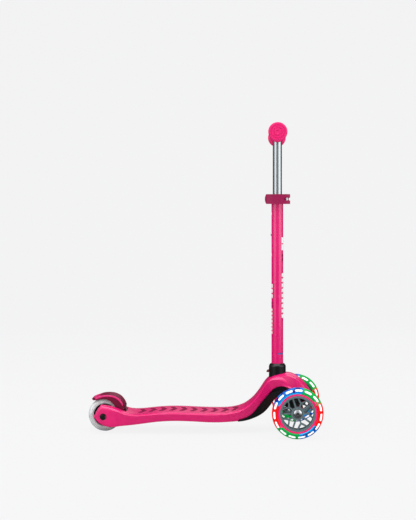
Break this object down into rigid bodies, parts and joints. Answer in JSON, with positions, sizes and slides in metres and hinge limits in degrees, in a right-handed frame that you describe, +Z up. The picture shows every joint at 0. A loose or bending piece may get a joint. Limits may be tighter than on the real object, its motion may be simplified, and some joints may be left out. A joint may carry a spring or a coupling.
{
  "type": "kick scooter",
  "caption": "Child's lean-to-steer kick scooter: swept low deck, two lit front wheels, wide rear wheel with foot brake, and a height-adjustable handlebar on a pull-off column.",
  "frame": {"origin": "on the ground, midway along the overall length and on the centre plane", "axes": "+X forward, +Y to the rider's left, +Z up"},
  "size_m": [0.5644, 0.256, 0.7405],
  "materials": {
    "pink_shell": "moulded satin plastic",
    "pink_paint": "satin powder coat",
    "raspberry_plastic": "moulded satin plastic",
    "pink_rubber": "soft moulded grip",
    "pink_trim": "gloss moulded",
    "black_plastic": "moulded satin",
    "black_rubber": "matte",
    "black_steel": "black oxide",
    "zinc_steel": "zinc plated",
    "bare_aluminium": "drawn and anodised clear",
    "grey_plastic": "moulded satin",
    "red_plastic": "gloss moulded",
    "lit_tyre": "clear moulded polyurethane lit from inside",
    "clear_tyre": "clear grey moulded polyurethane",
    "lamp_board": "gloss"
  },
  "bodies": {
    "deck_frame": {"deck": "pink_shell", "grip_inlays": "raspberry_plastic", "neck_undercover": "black_plastic", "column_socket": "black_plastic", "socket_cap": "black_plastic", "socket_screws": "zinc_steel", "kingpin": "zinc_steel", "kingpin_washers": "zinc_steel", "kingpin_nut": "zinc_steel", "steering_bumpers": "black_rubber", "rear_axle_bolt": "black_steel", "rear_axle_nut": "black_steel", "rear_spacer": "zinc_steel", "brake_pin": "zinc_steel", "brake_spring": "zinc_steel"},
    "column": {"lower_tube": "pink_paint", "tube_foot": "black_plastic", "tube_bush": "black_plastic", "clamp_collar": "raspberry_plastic", "clamp_barrel": "zinc_steel", "clamp_bolt": "zinc_steel", "clamp_nut": "zinc_steel"},
    "lever": {"clamp_lever": "raspberry_plastic"},
    "release": {"release_button": "red_plastic"},
    "bar": {"upper_tube": "bare_aluminium", "tube_plug": "black_plastic", "snap_spring": "zinc_steel", "crossbar": "bare_aluminium", "left_grip": "pink_rubber", "right_grip": "pink_rubber"},
    "snap": {"snap_button": "zinc_steel"},
    "front_truck": {"truck": "black_plastic", "axle_inserts": "zinc_steel", "front_axle_bolts": "zinc_steel", "front_spacers": "zinc_steel", "wheel_magnets": "zinc_steel"},
    "right_wheel": {"right_tyre": "lit_tyre", "right_core": "grey_plastic", "right_trim_ring": "pink_trim", "right_light_ring": "lamp_board", "right_bearings": "zinc_steel"},
    "left_wheel": {"left_tyre": "lit_tyre", "left_core": "grey_plastic", "left_trim_ring": "pink_trim", "left_light_ring": "lamp_board", "left_bearings": "zinc_steel"},
    "rear_wheel": {"rear_tyre": "clear_tyre", "rear_core": "black_plastic", "rear_bearings": "zinc_steel"},
    "brake_lever": {"brake": "raspberry_plastic"}
  },
  "joints": [
    {"name": "column_lift", "type": "slide", "parent": "deck_frame", "child": "column", "axis": [0, 0, 1], "range_m": [0, 0.08], "deforming": ["release_button"]},
    {"name": "bar_height", "type": "slide", "parent": "column", "child": "bar", "axis": [0, 0, 1], "range_m": [-0.05, 0.05], "deforming": ["snap_button", "snap_spring"]},
    {"name": "snap_press", "type": "slide", "parent": "bar", "child": "snap", "axis": [1, 0, 0], "range_m": [0, 0.003], "stiffness_N_per_m": 800, "springref_m": -0.002, "deforming": ["snap_spring"]},
    {"name": "lever_swing", "type": "hinge", "parent": "column", "child": "lever", "pos_m": [0.1978, -0.02175, 0.56185], "axis": [0, 0, 1], "range_deg": [0, 100]},
    {"name": "release_press", "type": "slide", "parent": "deck_frame", "child": "release", "axis": [1, 0, 0], "range_m": [0, 0.0025], "stiffness_N_per_m": 600, "springref_m": -0.002},
    {"name": "lean_steer", "type": "hinge", "parent": "deck_frame", "child": "front_truck", "pos_m": [0.212, 0, 0.075], "axis": [0.6428, 0, 0.766], "range_deg": [-15, 15], "stiffness_Nm_per_rad": 25, "deforming": ["steering_bumpers"]},
    {"name": "right_wheel_spin", "type": "hinge", "parent": "front_truck", "child": "right_wheel", "pos_m": [0.22175, -0.116, 0.0605], "axis": [0, 1, 0], "continuous": true},
    {"name": "left_wheel_spin", "type": "hinge", "parent": "front_truck", "child": "left_wheel", "pos_m": [0.22175, 0.116, 0.0605], "axis": [0, 1, 0], "continuous": true},
    {"name": "rear_wheel_spin", "type": "hinge", "parent": "deck_frame", "child": "rear_wheel", "pos_m": [-0.24225, 0, 0.04], "axis": [0, 1, 0], "continuous": true},
    {"name": "brake_press", "type": "hinge", "parent": "deck_frame", "child": "brake_lever", "pos_m": [-0.1995, 0, 0.0505], "axis": [0, -1, 0], "range_deg": [0, 4], "stiffness_Nm_per_rad": 8, "springref_deg": -6.88, "deforming": ["brake_spring"]}
  ]
}
